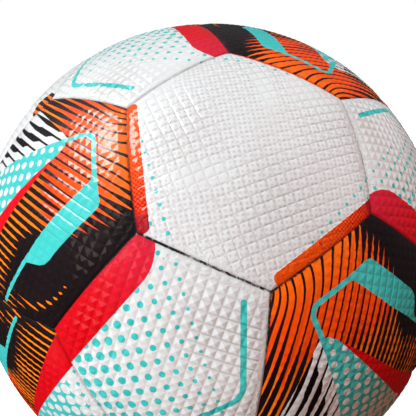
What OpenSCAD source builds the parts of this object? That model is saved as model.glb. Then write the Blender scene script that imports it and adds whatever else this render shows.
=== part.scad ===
// Size 5 soccer ball: 32 moulded cover panels on foam pads and backing cloths, a wound carcass,
// a bladder and a needle valve. The origin is the ball's centre, +Z is up, and the valve's axis
// is +Y. Lengths are in millimetres and angles in degrees.

/* [Ball] */
// Outer diameter of the inflated ball
ball_d = 220; // [214:0.5:226]
// Turn of the panel layout about the valve's axis
panel_turn = 4.5; // [0:0.5:71.5]

/* [Cover panels] */
// Thickness of a cover panel's skin
skin_t = 1.4; // [1:0.1:2]
// Width of the gap between two neighbouring panels
seam_gap = 0.4; // [0.2:0.1:0.8]
// How far a panel's edge rolls down at the seam
roll_depth = 0.9; // [0.3:0.1:0.9]
// Width of the rolled edge
roll_width = 1.3; // [0.5:0.1:2.5]

/* [Layers under the cover] */
// Thickness of the foam pads
foam_t = 3.6; // [2:0.1:5]
// Thickness of the backing cloths
cloth_t = 0.8; // [0.4:0.1:1.2]
// Thickness of the wound yarn carcass
carcass_t = 1.4; // [1:0.1:2]
// Thickness of the bladder's wall
bladder_t = 1.2; // [0.8:0.1:2]
// How far below the ball's surface the seam adhesive stops
adhesive_below = 1.2; // [1:0.1:1.4]

/* [Valve] */
// Radius of the hole in the valve panel
valve_hole_r = 5.2; // [5.1:0.1:6]
// Outer radius of the valve housing's stem
stem_r = 5; // [4.6:0.1:5]
// Depth of the stem's outer end below the ball's surface
stem_below = 0.5; // [0.3:0.1:1]
// Radius of the housing's flange inside the bladder
flange_r = 17; // [12:0.5:22]
// Thickness of the flange
flange_t = 1.2; // [0.8:0.1:2]
// Length of the housing's sleeve inside the flange
sleeve_len = 6; // [4:0.5:10]
// Radius of the valve core's body
core_r = 3; // [2.6:0.1:3.4]
// Radius of the valve core's head
core_head_r = 3.8; // [3.5:0.1:4]
// Thickness of the valve core's head
core_head_t = 1.4; // [1:0.1:2]
// Radius of the lip that holds the core behind the sleeve
core_lip_r = 3.6; // [3.5:0.1:4]
// Thickness of that lip
core_lip_t = 1.2; // [0.8:0.1:2]
// Radius of the channel that takes the inflation needle
needle_r = 1.1; // [0.9:0.05:1.2]
// Depth of the needle channel
needle_depth = 11; // [8:0.5:12]
// Width of the slit that closes behind the needle
slit_w = 0.2; // [0.1:0.05:0.3]
// Radius of the reinforcement patch round the valve
patch_r = 24; // [18:1:30]
// Thickness of the reinforcement patch
patch_t = 0.5; // [0.3:0.1:0.8]

/* [Hidden] */
$fn = 120;
ball_r = ball_d / 2;
// Outer radius of each layer, from the outside in
foam_r = ball_r - skin_t;
cloth_r = foam_r - foam_t;
carcass_r = cloth_r - cloth_t;
bladder_r = carcass_r - carcass_t;
bladder_in_r = bladder_r - bladder_t;
// Height of the valve's outer face and of the sleeve's inner end along the valve's axis
valve_face_z = ball_r - stem_below;
sleeve_end_z = bladder_in_r - flange_t - sleeve_len;
// Larger than the ball, for the solids that cut it
reach = 1.5 * ball_r;

// Angles from the valve's axis to the rings of panel centres, as on an icosahedron
fifth = 72;
pentagon_ring = atan(2);
hexagon_near_ring = acos(sqrt((5 + 2 * sqrt(5)) / 15));
hexagon_step = acos(sqrt(5) / 3);
hexagon_far_ring = hexagon_near_ring + hexagon_step;
// Angle from a panel's centre to the middle of its seams
hexagon_edge = hexagon_step / 2;
pentagon_edge = hexagon_near_ring - hexagon_edge;
// A seam between two hexagons lies half way between two pentagons
strip_ring = pentagon_ring / 2;
// Half the angle that a strip of adhesive spans, just short of the panels' corners
strip_half_angle = 11.3;

// Places on the ball: angle from the valve's axis, angle about it, and turn about their own centre
VALVE_PLACE = [0, 36, 0];
PENTAGON_PLACES = concat(
    [for (k = [0:4]) [pentagon_ring, fifth * k, 0]],
    [for (k = [0:4]) [180 - pentagon_ring, 36 + fifth * k, 180]],
    [[180, 0, 180]]
);
HEXAGON_PLACES = concat(
    [for (k = [0:4]) [hexagon_near_ring, 36 + fifth * k, 0]],
    [for (k = [0:4]) [hexagon_far_ring, 36 + fifth * k, 0]],
    [for (k = [0:4]) [180 - hexagon_far_ring, fifth * k, 0]],
    [for (k = [0:4]) [180 - hexagon_near_ring, fifth * k, 0]]
);
STRIP_PLACES = concat(
    [for (k = [0:4]) [strip_ring, fifth * k, 0]],
    [for (k = [0:4]) [90 - strip_ring, 36 + fifth * k, 90]],
    [for (k = [0:9]) [90, 18 + 36 * k, (k % 2 == 0) ? strip_ring : -strip_ring]],
    [for (k = [0:4]) [90 + strip_ring, fifth * k, 90]],
    [for (k = [0:4]) [180 - strip_ring, 36 + fifth * k, 0]]
);
// The hexagons that stay white; the others carry the orange print
WHITE_HEXAGONS = [2, 4, 6, 10, 13, 14, 17, 20];

// Turns what is made round a vertical valve axis so that the valve faces +Y
module valve_to_back() {
    rotate([-90, 0, 0]) rotate([0, 0, panel_turn]) children();
}

// Moves a piece made about +Z, with the middle of one seam towards +X, to its place on the ball
module at_place(place) {
    valve_to_back() rotate([0, 0, place[1]]) rotate([0, place[0], 0])
        rotate([0, 0, place[2]]) children();
}

// A closed shell between two spheres, with the spheres' poles away from the valve
module shell(outer_r, inner_r) {
    difference() {
        rotate([90, 0, 0]) sphere(r = outer_r);
        rotate([90, 0, 0]) sphere(r = inner_r);
    }
}

// The part of a shell within a radius of +Z
module shell_disc(outer_r, inner_r, disc_r) {
    intersection() {
        shell(outer_r, inner_r);
        cylinder(h = reach, r = disc_r);
    }
}

// What lies on the panel's side of one seam. The flat end is the seam, and the flank of the cone
// rolls the panel's edge down.
module seam_side(edge_angle, gap, rolled) {
    edge_r = ball_r - roll_depth;
    rotate([0, edge_angle, 0]) translate([-gap / 2, 0, 0]) rotate([0, -90, 0])
        if (rolled) cylinder(h = reach, r1 = edge_r, r2 = edge_r + reach * roll_depth / roll_width);
        else cylinder(h = reach, r = reach);
}

// What lies between all the seams of one panel
module seam_pyramid(sides, edge_angle, gap, rolled = false) {
    intersection_for (i = [0:sides - 1])
        rotate([0, 0, 360 / sides * i]) seam_side(edge_angle, gap, rolled);
}

module pentagon_tile(outer_r, inner_r, rolled = false) {
    intersection() {
        shell(outer_r, inner_r);
        seam_pyramid(5, pentagon_edge, seam_gap, rolled);
    }
}

module hexagon_tile(outer_r, inner_r, rolled = false) {
    intersection() {
        shell(outer_r, inner_r);
        seam_pyramid(6, hexagon_edge, seam_gap, rolled);
    }
}

// One layer of pentagon tiles, with the valve's hole through the tile over the valve
module pentagon_layer(outer_r, inner_r) {
    at_place(VALVE_PLACE) difference() {
        pentagon_tile(outer_r, inner_r);
        cylinder(h = reach, r = valve_hole_r);
    }
    for (place = PENTAGON_PLACES) at_place(place) pentagon_tile(outer_r, inner_r);
}

module hexagon_layer(outer_r, inner_r) {
    for (place = HEXAGON_PLACES) at_place(place) hexagon_tile(outer_r, inner_r);
}

module valve_panel() {
    color("whitesmoke") at_place(VALVE_PLACE) difference() {
        pentagon_tile(ball_r, foam_r, rolled = true);
        cylinder(h = reach, r = valve_hole_r);
    }
}

module pentagon_panel(i) {
    color("whitesmoke") at_place(PENTAGON_PLACES[i - 1]) pentagon_tile(ball_r, foam_r, rolled = true);
}

module hexagon_panel(i) {
    is_white = len(search(i, WHITE_HEXAGONS)) > 0;
    color(is_white ? "whitesmoke" : "darkorange")
        at_place(HEXAGON_PLACES[i - 1]) hexagon_tile(ball_r, foam_r, rolled = true);
}

// One strip of glue along a seam that runs along X, about +Z
module adhesive_strip() {
    intersection() {
        shell(ball_r - adhesive_below, cloth_r);
        translate([-reach, -seam_gap / 2, 0]) cube([2 * reach, seam_gap, reach]);
        seam_pyramid(2, strip_half_angle, 0);
    }
}

// Glue between the panels' edges: five strips round each pentagon, then one in each other seam
module seam_adhesive() {
    color("dimgray") {
        for (place = concat([VALVE_PLACE], PENTAGON_PLACES), i = [0:4])
            at_place(place) rotate([0, 0, fifth * i]) rotate([0, pentagon_edge, 0])
                rotate([0, 0, 90]) adhesive_strip();
        for (place = STRIP_PLACES) at_place(place) adhesive_strip();
    }
}

module pentagon_foam_pads() {
    color("lightyellow") pentagon_layer(foam_r, cloth_r);
}

module hexagon_foam_pads() {
    color("lightyellow") hexagon_layer(foam_r, cloth_r);
}

module pentagon_backing_cloths() {
    color("gainsboro") pentagon_layer(cloth_r, carcass_r);
}

module hexagon_backing_cloths() {
    color("gainsboro") hexagon_layer(cloth_r, carcass_r);
}

module yarn_carcass() {
    color("burlywood") at_place(VALVE_PLACE) difference() {
        shell(carcass_r, bladder_r);
        cylinder(h = reach, r = stem_r);
        shell_disc(bladder_r + patch_t, bladder_r - 1, patch_r);
    }
}

module bladder() {
    color("darkslategray") at_place(VALVE_PLACE) difference() {
        shell(bladder_r, bladder_in_r);
        cylinder(h = reach, r = stem_r);
    }
}

// Moulded rubber stem with a curved flange that is bonded to the inside of the bladder
module valve_housing() {
    color("black") at_place(VALVE_PLACE) difference() {
        union() {
            shell_disc(bladder_in_r, bladder_in_r - flange_t, flange_r);
            translate([0, 0, sleeve_end_z]) cylinder(h = valve_face_z - sleeve_end_z, r = stem_r);
        }
        cylinder(h = reach, r = core_r);
        translate([0, 0, valve_face_z - core_head_t]) cylinder(h = reach, r = core_head_r);
    }
}

// Soft plug with the needle channel, which ends in a slit that the air presses shut
module valve_core() {
    lip_z = sleeve_end_z - core_lip_t;
    color("dimgray") at_place(VALVE_PLACE) difference() {
        union() {
            translate([0, 0, lip_z]) cylinder(h = core_lip_t, r = core_lip_r);
            translate([0, 0, lip_z]) cylinder(h = valve_face_z - lip_z, r = core_r);
            translate([0, 0, valve_face_z - core_head_t]) cylinder(h = core_head_t, r = core_head_r);
        }
        translate([0, 0, valve_face_z - needle_depth]) cylinder(h = reach, r = needle_r);
        translate([-needle_r, -slit_w / 2, 0]) cube([2 * needle_r, slit_w, valve_face_z]);
    }
}

module valve_patch() {
    color("linen") at_place(VALVE_PLACE) difference() {
        shell_disc(bladder_r + patch_t, bladder_r, patch_r);
        cylinder(h = reach, r = stem_r);
    }
}

valve_panel();
for (i = [1:len(PENTAGON_PLACES)])
    pentagon_panel(i);
for (i = [1:len(HEXAGON_PLACES)])
    hexagon_panel(i);
seam_adhesive();
pentagon_foam_pads();
hexagon_foam_pads();
pentagon_backing_cloths();
hexagon_backing_cloths();
yarn_carcass();
bladder();
valve_housing();
valve_core();
valve_patch();
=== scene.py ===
"""Looks of a size 5 soccer ball: 32 embossed and printed cover panels around the CAD layers.

Panel outlines, embossing and prints are worked out in millimetres on a flat sheet, which is laid
on the ball so that distances from the panel's centre stay true. x points to the middle of one
seam. The print's edges are kept as signed distances on the mesh, which the material cuts sharp.
The finished meshes are in metres.
"""
import math

import bpy
import numpy as np
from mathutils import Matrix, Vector
from mathutils.geometry import delaunay_2d_cdt


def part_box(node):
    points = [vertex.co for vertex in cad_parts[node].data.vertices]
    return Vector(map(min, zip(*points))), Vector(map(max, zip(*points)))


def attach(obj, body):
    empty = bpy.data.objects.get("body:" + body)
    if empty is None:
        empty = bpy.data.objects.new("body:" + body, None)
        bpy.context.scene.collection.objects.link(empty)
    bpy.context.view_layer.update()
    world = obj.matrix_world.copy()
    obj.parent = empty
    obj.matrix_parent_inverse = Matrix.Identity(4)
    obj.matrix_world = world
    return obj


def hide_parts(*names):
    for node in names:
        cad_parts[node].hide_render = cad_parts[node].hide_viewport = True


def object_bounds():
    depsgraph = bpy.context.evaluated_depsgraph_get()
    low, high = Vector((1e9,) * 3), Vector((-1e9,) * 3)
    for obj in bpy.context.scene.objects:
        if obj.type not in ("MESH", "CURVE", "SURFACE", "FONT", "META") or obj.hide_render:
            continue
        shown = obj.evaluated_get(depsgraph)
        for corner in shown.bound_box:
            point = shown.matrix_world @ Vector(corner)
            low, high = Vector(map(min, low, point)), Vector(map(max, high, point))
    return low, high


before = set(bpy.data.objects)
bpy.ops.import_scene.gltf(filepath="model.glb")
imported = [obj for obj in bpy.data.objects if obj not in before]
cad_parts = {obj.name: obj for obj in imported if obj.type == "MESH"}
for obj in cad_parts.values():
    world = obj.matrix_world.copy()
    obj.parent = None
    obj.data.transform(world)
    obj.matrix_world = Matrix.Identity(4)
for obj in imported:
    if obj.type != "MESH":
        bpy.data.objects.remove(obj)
cad_low, cad_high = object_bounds()

MM = 0.001
BALL_R = max(cad_high) / MM

# Cover panels, as in the CAD model: the turn of the whole ball about the valve's axis, the angles
# between the centres of two hexagons and of a pentagon and a hexagon, the angles from a panel's
# centre to its seams, and the radius of the hole for the valve
PANEL_TURN = math.radians(4.5)
HEX_STEP = math.acos(math.sqrt(5) / 3)
HEX_RING = math.acos(math.sqrt((5 + 2 * math.sqrt(5)) / 15))
HEX_EDGE = HEX_STEP / 2
PENTA_EDGE = HEX_RING - HEX_EDGE
VALVE_HOLE = 5.2

# The panel's rolled edge: distance from the seam and depth below the ball's surface, bottom first
RIM = [
    (0.20, 1.40), (0.20, 1.16), (0.07, 1.06), (0.05, 0.94), (0.10, 0.80), (0.24, 0.64),
    (0.48, 0.48), (0.80, 0.34), (1.20, 0.22), (1.70, 0.12), (2.30, 0.05),
]
RIM_STEP = 0.5

# The surface sinks towards the seams by this much, over this distance
CROWN_DEPTH = 0.42
CROWN_WIDTH = 3.6

# Embossing: pitch of its cells, mesh steps in a cell, turn on the sheet and depth
PYRAMIDS_PENTAGON = (3.3, 6, math.radians(21), 0.42)
PYRAMIDS_ORANGE = (3.3, 6, math.radians(-43), 0.26)
CELLS_WHITE = (3.3, 6, math.radians(16), 0.26)
# Where some rows have a crease between them, on the turned sheet
CREASED = {"pentagon": (-19, -10), "orange": (17, 3)}
# The embossing comes in between these distances from the seam, and from the valve hole's edge
CLEAR_OF_SEAM = (0.4, 2.4)
CLEAR_OF_HOLE = (1.6, 4.6)

# Pitch of the mesh under a panel, and half the width of the grids of cells, more than any panel's
UNDER_PITCH = 3.0
GRID_REACH = 50
# Cells keep this share of their pitch away from the loops round them, and this distance below
CELL_MARGIN = 0.45
UNDER_MARGIN = 1.0
# Points less deep than this belong to a panel's outer face
OUTER_FACE = 0.9
# Each print is laid on up to this far off its place
PRINT_DRIFT = 0.3

PHI = (1 + math.sqrt(5)) / 2

# Ink colours, linear
WHITE = (0.72, 0.74, 0.75)
BLACK = (0.004, 0.002, 0.004)
TEAL = (0.068, 0.59, 0.56)
RED = (0.67, 0.0015, 0.008)
COOL_RED = (0.64, 0.013, 0.038)
CRIMSON = (0.42, 0.003, 0.012)
ORANGE = (0.98, 0.095, 0.002)
DEEP_ORANGE = (0.98, 0.058, 0.0015)
YELLOW_ORANGE = (1.0, 0.26, 0.004)
PALE_LINE = (0.80, 0.92, 0.95)
MARK_BLACK = (0.03, 0.01, 0.02)

# The same inks where they are worn, and other shades of the skin
DULL_WHITE = (0.64, 0.63, 0.62)
DULL_TEAL = (0.03, 0.46, 0.45)
DULL_BLACK = (0.014, 0.008, 0.009)
HALFTONE_GREY = (0.57, 0.535, 0.545)
# Painted shade for the hollows of the embossed cells
CELL_PAINTED_SHADE = (0.60, 0.55, 0.52)
# Painted shade and grime along the seams
SEAM_SHADE_AND_GRIME = (0.50, 0.45, 0.43)
GLUE = (0.015, 0.012, 0.014)

# Colour of each print's accents, and the height of the skin's bump
ACCENTS = {"orange": RED, "pentagon": MARK_BLACK, "white_one": PALE_LINE, "white_two": BLACK}
SKIN_BUMP = 0.10

# Directions from the ball's centre to the places where dark glue shows in the seams
GLUE_SPOTS = [(0.12, -0.95, 0.28), (-0.75, 0.30, 0.55), (0.70, 0.62, 0.20), (0.20, 0.35, -0.92),
              (-0.62, -0.30, -0.72), (0.05, 0.95, 0.20)]


# ---------------------------------------------------------------- shapes on the flat sheet

def ramp(value, start, end):
    """0 before start and 1 after end, with a straight slope between."""
    return np.clip((value - start) / (end - start), 0.0, 1.0)


def ease(value, start, end):
    """0 before start and 1 after end, with a smooth slope between."""
    t = ramp(value, start, end)
    return t * t * (3 - 2 * t)


def turned(x, y, angle):
    """The point's place on axes turned by angle."""
    c, s = math.cos(angle), math.sin(angle)
    return c * x + s * y, c * y - s * x


def stroke(x, y, points, radius):
    """Signed distance to a line through the points with round ends."""
    best = np.full_like(x, 1e9)
    for (ax, ay), (bx, by) in zip(points, points[1:]):
        dx, dy = bx - ax, by - ay
        t = np.clip(((x - ax) * dx + (y - ay) * dy) / (dx * dx + dy * dy), 0, 1)
        best = np.minimum(best, np.hypot(x - ax - t * dx, y - ay - t * dy))
    return best - radius


def outline(x, y, corners, rounding=0.0):
    """Signed distance to a closed outline, negative inside, with its outer corners rounded."""
    edge = stroke(x, y, corners + corners[:1], 0.0)
    inside = np.zeros(x.shape, bool)
    for (ax, ay), (bx, by) in zip(corners, corners[1:] + corners[:1]):
        if ay == by:
            continue
        crosses = (ay > y) != (by > y)
        inside ^= crosses & (x < ax + (y - ay) * (bx - ax) / (by - ay))
    return np.where(inside, -edge, edge) - rounding


def arc(centre, radius, start, end, steps=8):
    """Points on an arc, with its angles in degrees."""
    angles = np.radians(np.linspace(start, end, steps + 1))
    return [(centre[0] + radius * math.cos(a), centre[1] + radius * math.sin(a)) for a in angles]


def jitter(index, seed):
    """A repeatable number between -1 and 1 for each whole number, by the usual sine hash."""
    return 2 * np.modf(np.abs(np.sin(index * 12.9898 + seed * 78.233) * 43758.5453))[0] - 1


def thirds(x, y):
    """Folds the sheet onto the third of it around +x."""
    turn = np.round(np.arctan2(y, x) / (2 * math.pi / 3)) * (2 * math.pi / 3)
    c, s = np.cos(turn), np.sin(turn)
    return c * x + s * y, c * y - s * x


def lattice(x, y, origin, pitch, angle):
    """Place on a square lattice of dots, in cells."""
    u, v = turned(x - origin[0], y - origin[1], angle)
    return u / pitch, v / pitch


def mixed(first, second, share):
    """One colour for each point, from first to second."""
    share = np.asarray(share)[:, None]
    return np.asarray(first) * (1 - share) + np.asarray(second) * share


# ---------------------------------------------------------------- prints

# Distance on the sheet from a hexagon's centre to the middle of a seam, rounded
HEX_SEAM = 40.1

STRIPE_TURN = math.radians(-42)
STRIPE_PITCH = 2.72
WHITE_STRIPE_PITCH = 3.97
NET_PITCH = 4.5
NET_TURN = math.radians(-15)

# Teal dots on the pentagons, and in rows along a white panel's strip
PENTAGON_DOT_PITCH = 4.57
ROW_DOT_PITCH = 4.55

# Fine halftone on a white panel, and the red mesh on its strip
HALFTONE_PITCH = 1.68
MESH_PITCH = 1.1
MESH_TURN = math.radians(45)

# Values for a distance and a share that print nothing
FAR = 9.0
NOTHING = -9.0


def blank(x):
    """A print with nothing on it. tinted, teal and accent are signed distances. The lines hold a
    phase, a share and the size of fine dots, and the dots hold a place in cells and a size."""
    far = np.full_like(x, FAR)
    none = np.full_like(x, NOTHING)
    zero = np.zeros_like(x)
    return {
        "tint": mixed(WHITE, WHITE, zero),
        "tinted": far, "teal": far, "accent": far,
        "tint_lines": (zero, none, none),
        "white_lines": (zero, none, zero),
        "dots": (zero, zero, none),
    }


def orange_lines(x, y, across):
    """Phase and share of the black lines on the orange, which bend a little near +x."""
    bend = 0.018 * np.maximum(x - 26, 0) ** 2 * ramp(y, 16, 28)
    bend = bend - 0.026 * np.maximum(x - 30, 0) ** 2 * ramp(y, -5, 7) * (1 - ramp(y, 16, 26))
    phase = (across + bend) / STRIPE_PITCH
    stripe = np.floor(phase)
    # They are thin in the middle, and swell towards -y until they close over the orange
    thin = 0.245 + (0.385 + 0.09 * ramp(-x, 4, 18)) * ease(-x, -20, -2) * ramp(-y, -16, -6)
    tips = -15.6 - 4.8 * ramp(x, 2, 20) + 2.8 * ramp(x, 32, 40) - 15 * ramp(-x, 6, 21)
    tips = tips + 1.3 * jitter(stripe, 1)
    fade = 4.5 + 7.5 * ramp(x, 14, 24) + 3 * ramp(-x, 4, 14)
    low = ramp(tips + fade - y, 0, fade)
    # They swell again towards the pentagon, with a step, and leave thin orange lines there
    to_pentagon = HEX_SEAM - turned(x, y, math.radians(60))[0]
    reach = 12.5 + 1.8 * jitter(stripe, 2) - 5.5 * ramp(x, 12, 34)
    high = ramp(reach - to_pentagon, 0, 8.0) * (1 - 0.62 * ramp(x, 8, 30))
    step = 0.45 * ease(to_pentagon, 6.5, 7.5) * ease(-to_pentagon, -15, -14) * ramp(-x, -20, -12)
    most = 0.77 + 0.09 * jitter(stripe, 5)
    share = np.maximum.reduce([thin, thin + (1.08 - thin) * low, thin + (most - thin) * high])
    share = np.maximum(share, np.minimum(thin + step, 0.70) * (y > 17))
    # Loose orange dashes in the black, along an arc and in a patch
    near_dash = stroke(x, y, arc((0, -18), 19.5, 228, 310, 16), 0.0)
    swell = 1.8 - 1.4 * ramp(x, -4, 13)
    share = np.where((near_dash < swell) & (y < -24), 0.68 + 0.36 * (near_dash / swell) ** 2, share)
    patch = np.hypot((x + 21) / 8, (y + 31) / 7)
    share = np.where((patch < 1) & (y < -26 + 0.2 * x), 0.74 + 0.3 * patch ** 2, share)
    return phase, share


def corner_stripes(x, y, across):
    """Phase and share of the black stripes on the white corner, with a thick stretch between two
    steps and a tapered tail."""
    phase = (across - 22.2) / WHITE_STRIPE_PITCH
    level = y + 0.12 * x + 0.3 * jitter(np.floor(phase + 0.35), 3)
    thick = ramp(level, 21.8, 22.2)
    tail = ramp(level, 28.4, 28.8)
    taper = 1 - ramp(level, 28.6, 43)
    shift = 0.17 * thick + (0.235 * taper - 0.17) * tail
    return phase + shift, 0.20 + 0.40 * thick + (0.47 * taper - 0.60) * tail


def orange_print(x, y):
    """Black lines on orange, a striped white corner, a teal net, loop and blade, and a red wedge."""
    made = blank(x)
    _, across = turned(x, y, STRIPE_TURN)
    corner = [(17.8, 14.0), (16.9, 17.4), (15.3, 19.6), (10.2, 25.4), (5, 31.2), (0, 36.6),
              (-5, 41.2), (-11, 46), (-30, 60), (-70, 40), (-70, 10)]
    made["tinted"] = -outline(x, y, corner)
    made["white_lines"] = (*corner_stripes(x, y, across), np.zeros_like(x))
    phase, share = orange_lines(x, y, across)
    made["tint_lines"] = (phase, share, np.full_like(x, NOTHING))

    glow = 0.45 * ramp(x, 30, 42) + 0.8 * ramp(share, 0.5, 0.66) * ramp(-x, -22, -8)
    tint = mixed(DEEP_ORANGE, ORANGE, ramp(x, 6, 34))
    yellow = np.asarray(YELLOW_ORANGE)[None, :]
    made["tint"] = tint + (yellow - tint) * np.clip(glow, 0, 0.9)[:, None]

    net = outline(x, y, [(-70, 23.2), (15.6, 16.6), (17.2, 15.4), (16.6, 13.4), (13.2, 10.8),
                         (-70, -20.4)])
    loop = stroke(x, y, [(15.4, 15.9), (20, 15.5)] + arc((24.4, 11.1), 4.2, 90, 0)
                  + [(28.7, 4), (28.7, -4)], 0.9)
    blade = outline(x, y, [(27.8, -1.8), (29.6, -1.8), (29.7, -10.6), (29.2, -12.0), (27.9, -13.2),
                           (10, -22.6), (7.4, -24.2), (4.9, -25.0), (2.4, -24.7), (-3.6, -22.2),
                           (-5, -21.2), (0, -18), (10, -11.9), (26.4, -3.3)])
    low_line = stroke(x, y, [(-2, -20.1), (-21.6, -31.2)], 0.85)
    made["teal"] = np.minimum.reduce([net, loop, blade, low_line])
    made["accent"] = outline(x, y, [(13.6, 11.2), (-70, -19.8), (-70, -40), (-18, -7.4),
                                    (-10, -2.9), (0, 2.6), (7, 7.0)])

    u, v = lattice(x, y, (-12.3, 15.8), NET_PITCH, NET_TURN)
    hole = (2.62 - 0.035 * x) / 2 / NET_PITCH + 0.16 * ramp(-x, 26, 42)
    made["dots"] = (u, v, np.where((net < 0.3) & (x < 16.5), hole, NOTHING))
    return made


def white_one_print(x, y):
    """White, with an orange and crimson strip and a row of teal dots at three seams."""
    made = blank(x)
    none = np.full_like(x, NOTHING)
    zero = np.zeros_like(x)
    # The print lies a little off the panel's centre
    offset, off_way = 1.8, math.radians(240)
    fx, fy = thirds(x - offset * math.cos(off_way), y - offset * math.sin(off_way))
    strip = outline(fx, fy, [(38.5, -20.0), (60, -20.0), (60, 26), (44, 26), (37.9, 23.4)], 1.9)
    made["tinted"] = strip
    made["tint"] = mixed(ORANGE, CRIMSON, ease(fy, 17.5, 20.5))
    mesh_dot = 0.36 + 0.30 * ramp(-fy, -19, 3)
    made["tint_lines"] = (zero, none, np.where((fy > -3) & (fy < 19), mesh_dot, NOTHING))
    # A pale line runs round the strip
    made["accent"] = np.maximum(np.abs(strip - 0.1) - 0.17, -fy - 30)
    # A fine pinkish halftone that fades out in places
    fade = np.maximum.reduce([
        1.3 - np.hypot((x + 30) / 14, (y + 24) / 12), 1.3 - np.hypot((x + 8) / 3.5, (y + 26) / 14),
        1.3 - np.hypot((x - 32) / 10, (y + 26) / 14), 1.1 - np.hypot((x - 18) / 13, (y - 8) / 6),
        1.2 - np.hypot((x - 22) / 14, (y - 38) / 8),
    ])
    made["white_lines"] = (zero, none, 0.29 - 0.32 * np.clip(fade, 0, 1))
    u, v = lattice(fx, fy, (33.6, 8.5), ROW_DOT_PITCH, math.radians(9.5))
    size = (1.2 + 0.010 * (fy - 7)) / 2 / ROW_DOT_PITCH
    first = (np.abs(u) < 0.45) & (fy > -12) & (fy < 29)
    second = (np.abs(u - 1) < 0.45) & (fy > 9) & (fy < 24)
    made["dots"] = (u, v, np.where(first | second, size * (1 + 0.15 * second), NOTHING))
    return made


def white_two_print(x, y):
    """White, with a small patch of the orange panels' stripes at three corners."""
    made = blank(x)
    fx, fy = thirds(x, y)
    _, across = turned(fx, fy, math.radians(18))
    from_seam = HEX_SEAM - fx
    patch = [(60, 12.2), (37.6, 12.8), (33.8, 15.8), (34.2, 22.4), (60, 36)]
    made["tinted"] = outline(fx, fy, patch, 0.8)
    share = 0.40 + 0.3 * ramp(from_seam, 0, 6)
    made["tint_lines"] = (across / STRIPE_PITCH, share, np.full_like(x, NOTHING))
    made["tint"] = mixed(ORANGE, YELLOW_ORANGE, ramp(from_seam, 0, 6))
    return made


def pentagon_print(x, y):
    """White, with a red band, teal dots that grow towards it and a teal line with a bend."""
    made = blank(x)
    made["tinted"] = outline(x, y, [(19.4, 60), (19.4, -14.5), (19.9, -17.2), (21, -20),
                                    (23, -23), (25.9, -25.6), (60, -44), (60, 60)])
    made["tint"] = mixed(RED, COOL_RED, ramp(-y, -5, 22))
    u, v = lattice(x, y, (0, 2.2), PENTAGON_DOT_PITCH, math.radians(-33))
    growth = 0.547 * x + 0.837 * y + 11.8
    width = 1.2 + 0.066 * np.minimum(growth, 16) + 0.047 * np.maximum(growth - 16, 0)
    made["dots"] = (u, v, np.where(growth > -1, width / 2 / PENTAGON_DOT_PITCH, NOTHING))
    bend = arc((-19.6, -3.6), 7.4, 218, 165, 8)
    made["teal"] = stroke(x, y, [(-7.3, -29)] + bend + [(-23.6, 6.5), (-16.8, 22)], 1.0)
    # Short dark marks on the band's edge
    marks = [stroke(x, y, [(19.5, at), (19.5, at + length)], 0.22)
             for at, length in ((-23.2, 0.9), (-17.9, 1.4), (-0.8, 1.5))]
    made["accent"] = np.minimum.reduce(marks) + 0.5 * np.abs(x - 19.4)
    return made


PRINTS = {
    "pentagon": pentagon_print,
    "orange": orange_print,
    "white_one": white_one_print,
    "white_two": white_two_print,
}


# ---------------------------------------------------------------- panel meshes

def side_normal(sides, index, angle):
    """Normal of the plane through the ball's centre and one side, out of the panel."""
    turn = 2 * math.pi / sides * index
    return np.array([math.cos(turn) * math.cos(angle), math.sin(turn) * math.cos(angle),
                     -math.sin(angle)])


def sheet_to_ball(x, y):
    """Directions from the ball's centre of points on the flat sheet."""
    radius = np.hypot(x, y)
    angle = radius / BALL_R
    scale = np.sin(angle) / np.maximum(radius, 1e-9)
    return np.stack([x * scale, y * scale, np.cos(angle)], axis=1)


def ball_to_sheet(directions):
    """Points on the flat sheet of directions from the ball's centre."""
    angle = np.arccos(np.clip(directions[:, 2], -1, 1))
    scale = angle * BALL_R / np.maximum(np.sin(angle), 1e-9)
    return directions[:, 0] * scale, directions[:, 1] * scale


def seam_distance(directions, sides, edge):
    """Distance along the ball to the nearest seam."""
    to_side = [-np.arcsin(directions @ side_normal(sides, i, edge)) for i in range(sides)]
    return np.min(to_side, axis=0) * BALL_R


def ring_directions(sides, edge, inset, steps):
    """A closed loop round the panel, at a distance inside its seams, as directions."""
    angle = edge - inset / BALL_R
    corners = []
    for i in range(sides):
        corner = np.cross(side_normal(sides, i, angle), side_normal(sides, i + 1, angle))
        corners.append(corner / np.linalg.norm(corner) * math.copysign(1, corner[2]))
    loop = []
    for i in range(sides):
        start, end = corners[i - 1], corners[i]
        gap = math.acos(start @ end)
        for t in np.arange(steps) / steps:
            loop.append((math.sin((1 - t) * gap) * start + math.sin(t * gap) * end) / math.sin(gap))
    return np.array(loop)


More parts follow.
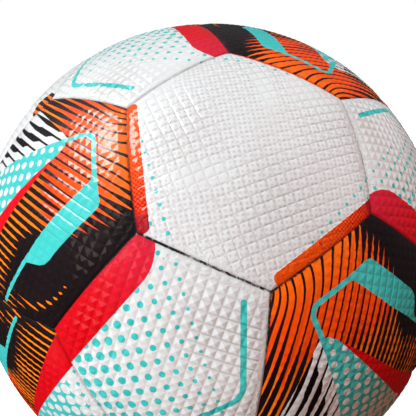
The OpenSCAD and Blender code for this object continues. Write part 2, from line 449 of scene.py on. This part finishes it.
def square_cells(sides, edge, pitch, turn, inset, hole, quarter=0):
    """Square cells that lie inside the seams: points, cells as triangles, and a test for cells.
    quarter is how many steps make half an embossed cell, which sets the way each cell is cut."""
    count = int(GRID_REACH / pitch)
    steps = np.arange(-count, count + 1)
    gi, gj = np.meshgrid(steps, steps, indexing="ij")
    c, s = math.cos(turn), math.sin(turn)
    x, y = (c * gi - s * gj) * pitch, (s * gi + c * gj) * pitch
    distance = seam_distance(sheet_to_ball(x.ravel(), y.ravel()), sides, edge).reshape(x.shape)
    margin = CELL_MARGIN * pitch
    kept = (distance > inset + margin) & (np.hypot(x, y) > hole + margin * (hole > 0))
    cells = kept[:-1, :-1] & kept[1:, :-1] & kept[1:, 1:] & kept[:-1, 1:]
    used = np.zeros(kept.shape, bool)
    for di in (0, 1):
        for dj in (0, 1):
            used[di:di + cells.shape[0], dj:dj + cells.shape[1]] |= cells
    number = np.full(kept.shape, -1)
    number[used] = np.arange(used.sum())
    a, b = number[:-1, :-1][cells], number[1:, :-1][cells]
    d, e = number[1:, 1:][cells], number[:-1, 1:][cells]
    rising = np.ones(len(a), bool)
    if quarter:
        i, j = gi[:-1, :-1][cells], gj[:-1, :-1][cells]
        rising = (np.floor(i / quarter) + np.floor(j / quarter)) % 2 == 0
    triangles = np.concatenate([
        np.stack([a, b, d], 1)[rising], np.stack([a, d, e], 1)[rising],
        np.stack([a, b, e], 1)[~rising], np.stack([b, d, e], 1)[~rising],
    ])

    def in_cell(px, py):
        """Whether points on the sheet lie in one of the cells."""
        u, v = turned(px, py, turn)
        i = np.floor(u / pitch).astype(int) + count
        j = np.floor(v / pitch).astype(int) + count
        near = (i >= 0) & (j >= 0) & (i < cells.shape[0]) & (j < cells.shape[1])
        return near & cells[i.clip(0, cells.shape[0] - 1), j.clip(0, cells.shape[1] - 1)]

    return x[used], y[used], triangles, in_cell


def free_edges(triangles):
    """Edges that only one triangle has."""
    pairs = np.concatenate([triangles[:, [0, 1]], triangles[:, [1, 2]], triangles[:, [2, 0]]])
    pairs = np.sort(pairs, axis=1)
    edges, counts = np.unique(pairs, axis=0, return_counts=True)
    return edges[counts == 1]


def fill_between(x, y, edges, in_cell, hole):
    """Triangles that join the loops of edges, outside the square cells and the hole."""
    used, flat = np.unique(edges, return_inverse=True)
    flat = flat.reshape(edges.shape)
    points = [Vector((px, py)) for px, py in zip(x[used], y[used])]
    found = delaunay_2d_cdt(points, flat.tolist(), [], 0, 1e-7)
    back = [used[origin[0]] for origin in found[3]]
    triangles = np.array([[back[k] for k in face] for face in found[2] if len(face) == 3])
    cx, cy = x[triangles].mean(axis=1), y[triangles].mean(axis=1)
    return triangles[~in_cell(cx, cy) & (np.hypot(cx, cy) > hole)]


def loop_edges(start, count):
    """The edges of a closed loop of points that are numbered from start."""
    first = np.arange(count)
    return np.stack([first, (first + 1) % count], axis=1) + start


def band(first_start, second_start, count):
    """Triangles between two loops of the same number of points."""
    a = np.arange(count)
    b = (a + 1) % count
    return np.concatenate([
        np.stack([first_start + a, first_start + b, second_start + b], 1),
        np.stack([first_start + a, second_start + b, second_start + a], 1),
    ])


def panel_form(sides, edge, emboss, hole=0.0):
    """Directions, depths and triangles of one closed panel in its own frame.
    It has loops down its rolled edge, and down the same edge of the hole if it has one."""
    pitch, divisions, turn, _ = emboss
    side_steps = int(2 * BALL_R * math.tan(edge) * math.tan(math.pi / sides) / RIM_STEP)
    parts = [ring_directions(sides, edge, inset, side_steps) for inset, _ in RIM]
    ring = len(parts[0])
    hole_ring = int(2 * math.pi * hole / RIM_STEP)
    hole_turns = -np.arange(hole_ring) / max(hole_ring, 1) * 2 * math.pi
    for inset, _ in RIM if hole else []:
        radius = hole + max(inset - RIM[0][0], 0)
        parts.append(sheet_to_ball(radius * np.cos(hole_turns), radius * np.sin(hole_turns)))
    widest = hole + RIM[-1][0] - RIM[0][0] if hole else 0.0

    depth_parts = [np.full(len(part), depth) for part, (_, depth) in zip(parts, RIM + RIM)]
    starts = np.cumsum([0] + [len(part) for part in parts])
    triangles = []
    for k in range(len(RIM) - 1):
        triangles.append(band(starts[k], starts[k + 1], ring))
        if hole:
            triangles.append(band(starts[len(RIM) + k], starts[len(RIM) + k + 1], hole_ring))

    # The outer face and the under side: square cells, and triangles between them and the loops
    under_inset = RIM[0][0] + UNDER_MARGIN
    under_hole = hole + UNDER_MARGIN if hole else 0.0
    covers = (
        (pitch / divisions, turn, RIM[-1][0], widest, divisions // 2, len(RIM) - 1, False),
        (UNDER_PITCH, 0.0, under_inset, under_hole, 0, 0, True),
    )
    for cell, cell_turn, inset, cell_hole, quarter, level, under in covers:
        cx, cy, cell_triangles, in_cell = square_cells(sides, edge, cell, cell_turn, inset,
                                                       cell_hole, quarter)
        start = sum(len(part) for part in parts)
        parts.append(sheet_to_ball(cx, cy))
        depth_parts.append(np.full(len(cx), RIM[0][1] if under else 0.0))
        every_x, every_y = ball_to_sheet(np.concatenate(parts))
        edges = [free_edges(cell_triangles) + start, loop_edges(starts[level], ring)]
        if hole:
            edges.append(loop_edges(starts[len(RIM) + level], hole_ring))
        between = fill_between(every_x, every_y, np.concatenate(edges), in_cell,
                               hole if under else widest)
        cover = np.concatenate([cell_triangles + start, between])
        triangles.append(cover[:, ::-1] if under else cover)
    return np.concatenate(parts), np.concatenate(depth_parts), np.concatenate(triangles)


def emboss_depth(kind, x, y, emboss, phase):
    """How far the embossing lies below the surface. It is deeper in some places than in others."""
    pitch, _, turn, depth = emboss
    u, v = turned(x, y, turn)
    to_side = 2 * np.abs(u / pitch - np.round(u / pitch))
    to_row = 2 * np.abs(v / pitch - np.round(v / pitch))
    cell = np.maximum(to_side, to_row)
    zone = 0.5 + 0.5 * np.sin(x * 0.12 + phase[0]) * np.cos(y * 0.11 + phase[1])
    if kind in ("white_one", "white_two"):
        return depth * (0.45 * cell + 0.55 * cell ** 8) * (0.45 + 0.55 * zone)
    cu, cv = CREASED[kind]
    creased = ramp(1.4 - np.hypot((u - cu) / 11, (v - cv) / 9), 0, 0.5)
    return depth * (cell * (0.45 + 0.55 * zone) + 0.45 * creased * ease(to_row, 0.7, 1.0))


def put_attribute(mesh, name, columns):
    """Three columns of numbers for the points of the mesh, which its material reads by name."""
    data = np.stack([np.asarray(c, np.float32) * np.ones(len(mesh.vertices), np.float32)
                     for c in columns], axis=1)
    mesh.attributes.new(name, "FLOAT_VECTOR", "POINT").data.foreach_set("vector", data.ravel())


def make_panel(name, kind, form, emboss, hole, sides, edge, axes, rng):
    """One cover panel as a closed mesh in the CAD frame, with its print on the mesh."""
    directions, depth, triangles = form
    x, y = ball_to_sheet(directions)
    seam = seam_distance(directions, sides, edge)
    on_top = depth < OUTER_FACE
    crown = CROWN_DEPTH * np.exp(-(seam / CROWN_WIDTH) ** 2)
    surface = np.clip(depth / RIM[0][1], 0, 1)
    total = depth + np.where(on_top, crown * (1 - surface), 0.0)
    phase = rng.uniform(0, 2 * math.pi, 2)
    relief = emboss_depth(kind, x, y, emboss, phase) * ease(seam, *CLEAR_OF_SEAM) * on_top
    if hole:
        relief = relief * ease(np.hypot(x, y) - hole, *CLEAR_OF_HOLE)
    total = np.minimum(total + relief, RIM[0][1])
    points = (directions * (BALL_R - total)[:, None]) @ axes.T * MM

    mesh = bpy.data.meshes.new(name)
    mesh.from_pydata(points.tolist(), [], triangles.tolist())
    # The embossed cells have flat faces, and the rest is smooth
    mesh.polygons.foreach_set("use_smooth", np.max(depth[triangles], axis=1) > 0.01)
    drift = rng.uniform(-PRINT_DRIFT, PRINT_DRIFT, 2)
    fields = PRINTS[kind](x - drift[0], y - drift[1])
    put_attribute(mesh, "spot", (x, y, seam))
    put_attribute(mesh, "place", points.T / MM)
    put_attribute(mesh, "tint", fields["tint"].T)
    put_attribute(mesh, "inks", (fields["tinted"], fields["teal"], fields["accent"]))
    put_attribute(mesh, "tint_lines", fields["tint_lines"])
    put_attribute(mesh, "white_lines", fields["white_lines"])
    put_attribute(mesh, "relief", (relief / emboss[3], 0, 0))
    put_attribute(mesh, "dots", fields["dots"])
    panel = bpy.data.objects.new(name, mesh)
    bpy.context.scene.collection.objects.link(panel)
    return panel


# ---------------------------------------------------------------- numbers in a material

class Value:
    """A number in a material's nodes that adds and multiplies as a plain number does."""

    def __init__(self, tree, socket):
        self.tree, self.socket = tree, socket

    def math(self, operation, *others, clamp=False):
        """What a Math node makes of this number and others."""
        node = self.tree.nodes.new("ShaderNodeMath")
        node.operation, node.use_clamp = operation, clamp
        for entry, item in zip(node.inputs, (self,) + others):
            if isinstance(item, Value):
                self.tree.links.new(item.socket, entry)
            else:
                entry.default_value = item
        return Value(self.tree, node.outputs[0])

    def __add__(self, other):
        return self.math("ADD", other)

    def __sub__(self, other):
        return self.math("SUBTRACT", other)

    def __mul__(self, other):
        return self.math("MULTIPLY", other)

    def __truediv__(self, other):
        return self.math("DIVIDE", other)

    def clamped(self):
        """This number, kept between 0 and 1."""
        return self.math("ADD", 0.0, clamp=True)


def attribute(tree, name):
    """The three numbers of a mesh attribute."""
    node = tree.nodes.new("ShaderNodeAttribute")
    node.attribute_name = name
    split = tree.nodes.new("ShaderNodeSeparateXYZ")
    tree.links.new(node.outputs["Vector"], split.inputs[0])
    return [Value(tree, socket) for socket in split.outputs]


def noise(tree, vector, scale, detail=3.0, roughness=0.5):
    """Smooth noise between 0 and 1."""
    node = tree.nodes.new("ShaderNodeTexNoise")
    node.inputs["Scale"].default_value = scale
    node.inputs["Detail"].default_value = detail
    node.inputs["Roughness"].default_value = roughness
    tree.links.new(vector, node.inputs["Vector"])
    return Value(tree, node.outputs[0])


def inside(distance, softness=0.12):
    """1 where a signed distance is negative."""
    return (distance * (-1 / softness) + 0.5).clamped()


def striped(phase, share, softness=0.05):
    """1 on stripes that cover a share of each period."""
    wave = phase.math("PINGPONG", 0.5) * 2.0
    return ((share - wave) / softness + 0.5).clamped()


def dotted(u, v, radius, softness=0.035):
    """1 on round dots at whole numbers of u and v."""
    du, dv = u.math("PINGPONG", 0.5), v.math("PINGPONG", 0.5)
    distance = (du * du + dv * dv).math("SQRT")
    return ((radius - distance) / softness + 0.5).clamped()


def painted(tree, below, above, mask):
    """Colour above over colour below, where the mask is 1."""
    node = tree.nodes.new("ShaderNodeMix")
    node.data_type = "RGBA"
    slots = [s for s in node.inputs if s.type == "RGBA"]
    for entry, item in zip(slots, (below, above)):
        if isinstance(item, tuple):
            entry.default_value = item + (1.0,)
        else:
            tree.links.new(item, entry)
    tree.links.new(mask.socket, node.inputs[0])
    return [s for s in node.outputs if s.type == "RGBA"][0]


def shaded(tree, colour, shade, mask):
    """A colour multiplied by a shade, where the mask is 1."""
    node = tree.nodes.new("ShaderNodeMix")
    node.data_type, node.blend_type = "RGBA", "MULTIPLY"
    below, above = [s for s in node.inputs if s.type == "RGBA"]
    tree.links.new(colour, below)
    above.default_value = shade + (1.0,)
    tree.links.new(mask.socket, node.inputs[0])
    return [s for s in node.outputs if s.type == "RGBA"][0]


def new_material(name, roughness=0.5, coat=0.0, coat_roughness=0.1, specular=0.5):
    """A new material, its nodes and its shader."""
    material = bpy.data.materials.new(name)
    material.use_nodes = True
    tree = material.node_tree
    shader = tree.nodes["Principled BSDF"]
    shader.inputs["Roughness"].default_value = roughness
    shader.inputs["Coat Weight"].default_value = coat
    shader.inputs["Coat Roughness"].default_value = coat_roughness
    shader.inputs["Specular IOR Level"].default_value = specular
    return material, tree, shader


def add_bump(tree, shader, height, distance):
    """Fine unevenness of the surface, with distance in metres."""
    node = tree.nodes.new("ShaderNodeBump")
    node.inputs["Distance"].default_value = distance
    tree.links.new(height.socket, node.inputs["Height"])
    tree.links.new(node.outputs[0], shader.inputs["Normal"])


def glue_spots(tree, where):
    """1 within 28 mm of the places where dark glue shows in the seams, and 0 from 45 mm on."""
    distances = []
    for spot in GLUE_SPOTS:
        node = tree.nodes.new("ShaderNodeVectorMath")
        node.operation = "DISTANCE"
        tree.links.new(where, node.inputs[0])
        node.inputs[1].default_value = Vector(spot).normalized() * BALL_R
        distances.append(Value(tree, node.outputs["Value"]))
    nearest = distances[0]
    for distance in distances[1:]:
        nearest = nearest.math("MINIMUM", distance)
    return (nearest * -0.06 + 2.7).clamped()


def ground_colour(tree, kind, x, y, blotches):
    """White skin with black stripes, and on some panels a fine halftone."""
    phase, share, halftone = attribute(tree, "white_lines")
    ground = painted(tree, WHITE, DULL_WHITE, (blotches * 1.6 - 0.65).clamped())
    if kind == "white_one":
        fine = dotted(x / HALFTONE_PITCH, y / HALFTONE_PITCH, halftone, 0.16)
        ground = painted(tree, ground, HALFTONE_GREY, fine * 0.8)
    return painted(tree, ground, BLACK, striped(phase, share, 0.04))


def tint_colour(tree, kind, x, y, blotches):
    """The panel's own tint with black lines, and on some panels a red mesh."""
    tint_node = tree.nodes.new("ShaderNodeAttribute")
    tint_node.attribute_name = "tint"
    tint = tint_node.outputs["Color"]
    phase, share, mesh_dot = attribute(tree, "tint_lines")
    if kind == "white_one":
        # The mesh is there where the size of its openings is more than NOTHING
        u = (x * math.cos(MESH_TURN) + y * math.sin(MESH_TURN)) / MESH_PITCH
        v = (y * math.cos(MESH_TURN) - x * math.sin(MESH_TURN)) / MESH_PITCH
        meshed = (mesh_dot + 5.0).clamped()
        wire = dotted(u, v, mesh_dot * 0.9, 0.1) * -1.0 + 1.0
        tint = painted(tree, tint, RED, meshed * wire)
    black = painted(tree, BLACK, DULL_BLACK, blotches)
    return painted(tree, tint, black, striped(phase, share))


def with_painted_shade_and_grime(tree, colour, where, seam):
    """The colour with painted shade in the embossed cells' hollows, painted shade and grime along
    the seams, and dark glue in some seams.
    """
    valley, _, _ = attribute(tree, "relief")
    # Painted shade: the hollows of the embossed cells are darkened by their depth
    colour = shaded(tree, colour, CELL_PAINTED_SHADE, (valley * valley).clamped() * 0.45)
    # Painted shade and grime: darker within about 1.2 mm of the seams, unevenly
    seam_shade_and_grime = (seam * -0.9 + 1.1).clamped()
    uneven = noise(tree, where, 0.4) * 1.1 - 0.05
    colour = shaded(tree, colour, SEAM_SHADE_AND_GRIME, seam_shade_and_grime * uneven)
    broken = (noise(tree, where, 0.45, 3.0, 0.7) * 6.0 - 2.2).clamped()
    return painted(tree, colour, GLUE, inside(seam - 0.42) * glue_spots(tree, where) * broken)


def skin_height(tree, kind, where, seam, tinted, grain):
    """Fine grain, and crinkles that are strongest near the seams and on a white panel's strip."""
    crinkle = noise(tree, where, 0.42, 5.0, 0.62)
    ridge = ((crinkle - 0.5).math("ABSOLUTE") * -9.0 + 1.0).clamped()
    near_seam = (seam * -0.16 + 1.0).clamped()
    height = grain * 0.25 + ridge * (near_seam * 1.1 + 0.16)
    if kind == "white_one":
        height = height + ridge * inside(tinted) * 1.6
    return height


def panel_material(kind):
    """The printed skin of one kind of panel."""
    material, tree, shader = new_material("print_" + kind, roughness=0.42, coat=0.50,
                                          coat_roughness=0.10, specular=0.16)
    place = tree.nodes.new("ShaderNodeAttribute")
    place.attribute_name = "place"
    where = place.outputs["Vector"]
    x, y, seam = attribute(tree, "spot")
    tinted, teal, accent = attribute(tree, "inks")
    blotches = noise(tree, where, 0.06, 4.0, 0.6)
    grain = noise(tree, where, 1.3, 4.0, 0.6)

    colour = ground_colour(tree, kind, x, y, blotches)
    dots = dotted(*attribute(tree, "dots"))
    teal_ink = painted(tree, TEAL, DULL_TEAL, (blotches * 1.6 - 0.4).clamped())
    if kind == "orange":
        # The net is teal with white dots
        teal_ink = painted(tree, teal_ink, WHITE, dots)
    else:
        colour = painted(tree, colour, teal_ink, dots)
    colour = painted(tree, colour, tint_colour(tree, kind, x, y, blotches), inside(tinted))
    colour = painted(tree, colour, ACCENTS[kind], inside(accent))
    colour = painted(tree, colour, teal_ink, inside(teal))
    tree.links.new(with_painted_shade_and_grime(tree, colour, where, seam), shader.inputs["Base Color"])

    rough = (grain * 0.22 + blotches * 0.16 + 0.22).clamped()
    tree.links.new(rough.socket, shader.inputs["Roughness"])
    height = skin_height(tree, kind, where, seam, tinted, grain)
    add_bump(tree, shader, height, SKIN_BUMP * MM)
    return material


def speckled(name, first, second, roughness, scale, bump):
    """A plain material of two mixed shades. The grains number scale to the metre, and bump is
    their height in millimetres."""
    material, tree, shader = new_material(name, roughness)
    where = tree.nodes.new("ShaderNodeTexCoord").outputs["Object"]
    spots = noise(tree, where, scale, 5.0, 0.6)
    colour = painted(tree, first, second, (spots * 2.2 - 0.6).clamped())
    tree.links.new(colour, shader.inputs["Base Color"])
    tree.links.new((spots * 0.3 + roughness - 0.15).clamped().socket, shader.inputs["Roughness"])
    add_bump(tree, shader, noise(tree, where, scale * 3, 4.0, 0.6), bump * MM)
    return material


# ---------------------------------------------------------------- places on the ball

def on_ball(polar, azimuth):
    """Direction at an angle from the valve's axis, +Y, and an angle about it."""
    azimuth += PANEL_TURN
    return np.array([math.sin(polar) * math.cos(azimuth), math.cos(polar),
                     -math.sin(polar) * math.sin(azimuth)])


def unit(vector):
    """The vector at length 1."""
    vector = np.asarray(vector, float)
    return vector / np.linalg.norm(vector)


def axes_from(out, towards):
    """Columns x, y and z of a frame that faces out, with x turned towards a direction."""
    x = unit(towards - (towards @ out) * out)
    return np.stack([x, np.cross(out, x), out], axis=1)


def to_cad_frame():
    """Turns icosahedral coordinates into the CAD frame, where a pentagon lies opposite the valve."""
    own = axes_from(unit((0, PHI, 1)), unit((1, 1, 1)))
    placed = axes_from(on_ball(math.pi, 0.0), on_ball(math.pi - HEX_RING, 4 * math.radians(72)))
    return placed @ own.T


def symmetries():
    """The 12 turns that the print's layout repeats under."""
    cycles = [np.eye(3), np.array([[0, 0, 1], [1, 0, 0], [0, 1, 0]]),
              np.array([[0, 1, 0], [0, 0, 1], [1, 0, 0]])]
    signs = [(1, 1, 1), (1, -1, -1), (-1, 1, -1), (-1, -1, 1)]
    return [np.diag(sign) @ cycle for cycle in cycles for sign in signs]


# Centre of the first panel of each kind, and the neighbour that its x axis points to
LAYOUT = {
    "pentagon": ((0, PHI, 1), (1 / PHI, PHI, 0)),
    "orange": ((1 / PHI, PHI, 0), (1, 1, 1)),
    "white_one": ((1, 1, 1), (1 / PHI, PHI, 0)),
    "white_two": ((1, 1, -1), (1 / PHI, PHI, 0)),
}


def node_centres():
    """Direction from the ball's centre to each cover panel's CAD node."""
    centres = {}
    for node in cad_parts:
        if "panel" in node:
            low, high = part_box(node)
            centres[node] = unit(low + high)
    return centres


def build_panels():
    """All 32 cover panels, each in place of its CAD node."""
    centres = node_centres()
    placed = to_cad_frame()
    embossing = {"pentagon": PYRAMIDS_PENTAGON, "orange": PYRAMIDS_ORANGE,
                 "white_one": CELLS_WHITE, "white_two": CELLS_WHITE}
    forms = {
        "pentagon": panel_form(5, PENTA_EDGE, PYRAMIDS_PENTAGON),
        "valve": panel_form(5, PENTA_EDGE, PYRAMIDS_PENTAGON, VALVE_HOLE),
        "orange": panel_form(6, HEX_EDGE, PYRAMIDS_ORANGE),
        "white_one": panel_form(6, HEX_EDGE, CELLS_WHITE),
    }
    forms["white_two"] = forms["white_one"]
    rng = np.random.default_rng(5)
    done = set()
    for kind, (centre, neighbour) in LAYOUT.items():
        material = panel_material(kind)
        sides, edge = (5, PENTA_EDGE) if kind == "pentagon" else (6, HEX_EDGE)
        for turn in symmetries():
            axes = placed @ turn @ axes_from(unit(centre), unit(neighbour))
            node = max(centres, key=lambda n: centres[n] @ axes[:, 2])
            if node in done:
                continue
            done.add(node)
            hole = VALVE_HOLE if node == "valve_panel" else 0.0
            form = forms["valve" if hole else kind]
            panel = make_panel(node + "_cover", kind, form, embossing[kind], hole, sides, edge,
                               axes, rng)
            panel.data.materials.append(material)
            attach(panel, "root")
            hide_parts(node)


def dress_layers():
    """Materials for the CAD nodes that stay: two shades, roughness, grains to the metre, bump."""
    glue = speckled("dried_glue", (0.035, 0.030, 0.028), (0.11, 0.095, 0.085), 0.5, 900, 0.1)
    foam = speckled("foam", (0.75, 0.68, 0.42), (0.86, 0.80, 0.56), 0.9, 1500, 0.2)
    cloth = speckled("backing_cloth", (0.62, 0.62, 0.60), (0.80, 0.80, 0.78), 0.9, 1200, 0.15)
    yarn = speckled("wound_yarn", (0.55, 0.42, 0.25), (0.74, 0.60, 0.40), 0.85, 800, 0.3)
    bladder = speckled("bladder_rubber", (0.015, 0.015, 0.016), (0.03, 0.03, 0.03), 0.5, 300, 0.1)
    rubber = speckled("valve_rubber", (0.012, 0.012, 0.013), (0.03, 0.029, 0.028), 0.45, 700, 0.08)
    core = speckled("core_rubber", (0.05, 0.05, 0.052), (0.09, 0.09, 0.09), 0.5, 700, 0.06)
    for node, material in {
        "seam_adhesive": glue, "pentagon_foam_pads": foam, "hexagon_foam_pads": foam,
        "pentagon_backing_cloths": cloth, "hexagon_backing_cloths": cloth, "valve_patch": cloth,
        "yarn_carcass": yarn, "bladder": bladder, "valve_housing": rubber, "valve_core": core,
    }.items():
        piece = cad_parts[node]
        piece.data.materials.clear()
        piece.data.materials.append(material)


# ---------------------------------------------------------------- studio

# The camera's place round the ball's centre, the way it looks, and its lens
CAMERA_AZIMUTH = math.radians(7.51)
CAMERA_ELEVATION = math.radians(17.40)
CAMERA_DISTANCE = 249.8
CAMERA_HEADING = math.radians(7.72)
CAMERA_PITCH = math.radians(12.54)
LENS = 41.09
SENSOR = 36.0

# The floor lies this far under the ball, so that the two don't touch
FLOOR_GAP = 0.2
FLOOR_SIZE = 40
FLOOR_PAINT = (0.90, 0.90, 0.895, 1)
FLOOR_GLOW = 0.85

# The room that the ball is lit by and reflects, from below and from above
ROOM_LOW = (0.030, 0.016, 0.010, 1)
ROOM_HIGH = (0.11, 0.115, 0.12, 1)
PURE_WHITE = (1.0, 1.0, 1.0)


def make_camera():
    """A camera near the ball, which looks slightly down at it."""
    camera = bpy.data.objects.new("camera", bpy.data.cameras.new("camera"))
    bpy.context.scene.collection.objects.link(camera)
    camera.data.sensor_width = SENSOR
    camera.data.lens = LENS
    camera.data.clip_start, camera.data.clip_end = 0.01, 20
    camera.location = Vector((
        math.sin(CAMERA_AZIMUTH) * math.cos(CAMERA_ELEVATION),
        -math.cos(CAMERA_AZIMUTH) * math.cos(CAMERA_ELEVATION),
        math.sin(CAMERA_ELEVATION),
    )) * CAMERA_DISTANCE * MM
    camera.rotation_euler = (math.pi / 2 - CAMERA_PITCH, 0, CAMERA_HEADING)
    bpy.context.scene.camera = camera


def sun(name, direction, strength, angle, colour, diffuse=True, glossy=False):
    """A distant light from a direction, with its apparent width in degrees. Light for matt
    surfaces and light for shiny ones are set apart."""
    light = bpy.data.lights.new(name, "SUN")
    light.energy, light.angle, light.color = strength, math.radians(angle), colour
    lamp = bpy.data.objects.new(name, light)
    bpy.context.scene.collection.objects.link(lamp)
    lamp.rotation_euler = Vector(direction).to_track_quat("Z", "Y").to_euler()
    lamp.visible_diffuse = diffuse
    lamp.visible_glossy = glossy


def make_floor():
    """A pale floor that glows, so that it looks as white as the world behind it."""
    place = (0, 0, -(BALL_R + FLOOR_GAP) * MM)
    bpy.ops.mesh.primitive_plane_add(size=FLOOR_SIZE, location=place)
    floor = bpy.context.object
    floor.name = "floor"
    material, _, shader = new_material("floor_paint", roughness=0.9, specular=0.1)
    shader.inputs["Base Color"].default_value = FLOOR_PAINT
    shader.inputs["Emission Color"].default_value = PURE_WHITE + (1,)
    shader.inputs["Emission Strength"].default_value = FLOOR_GLOW
    floor.data.materials.append(material)
    floor.visible_diffuse = False
    floor.visible_glossy = False
    floor.visible_shadow = False


def make_world():
    """A dim room, brighter above, which the camera sees as white."""
    world = bpy.data.worlds.new("studio")
    bpy.context.scene.world = world
    world.use_nodes = True
    nodes, links = world.node_tree.nodes, world.node_tree.links
    background = nodes["Background"]
    split = nodes.new("ShaderNodeSeparateXYZ")
    links.new(nodes.new("ShaderNodeTexCoord").outputs["Generated"], split.inputs[0])
    height = nodes.new("ShaderNodeMapRange")
    height.inputs["From Min"].default_value, height.inputs["From Max"].default_value = -0.6, 0.7
    links.new(split.outputs["Z"], height.inputs["Value"])
    room = nodes.new("ShaderNodeValToRGB")
    room.color_ramp.elements[0].color = ROOM_LOW
    room.color_ramp.elements[1].color = ROOM_HIGH
    links.new(height.outputs[0], room.inputs[0])
    seen = Value(world.node_tree, nodes.new("ShaderNodeLightPath").outputs["Is Camera Ray"])
    links.new(painted(world.node_tree, room.outputs[0], PURE_WHITE, seen),
              background.inputs["Color"])


def make_lights():
    """Seven suns: five that light the ball, and two that only shine in its coat. Each has a
    direction, a strength, a width and a colour."""
    sun("key", (-0.28, -0.46, 0.84), 3.6, 14, PURE_WHITE)
    sun("low_left", (-0.77, -0.43, -0.47), 3.6, 25, PURE_WHITE)
    sun("side", (0.50, -0.10, 0.86), 0.60, 40, (0.97, 0.99, 1))
    sun("floor_glow", (0.90, -0.22, -0.38), 0.85, 40, (1, 0.20, 0.01))
    sun("back", (0.10, 0.95, 0.30), 1.6, 30, PURE_WHITE)
    sun("window", (-0.58, -0.20, 0.78), 3.3, 26, PURE_WHITE, diffuse=False, glossy=True)
    sun("bench", (-0.62, -0.76, 0.21), 0.19, 19, (1, 0.80, 0.68), diffuse=False, glossy=True)


def set_view():
    """Colours are shown as they are, without a film look."""
    settings = bpy.context.scene.view_settings
    settings.view_transform, settings.look = "Standard", "None"


make_camera()
make_floor()
make_world()
make_lights()
set_view()
build_panels()
dress_layers()
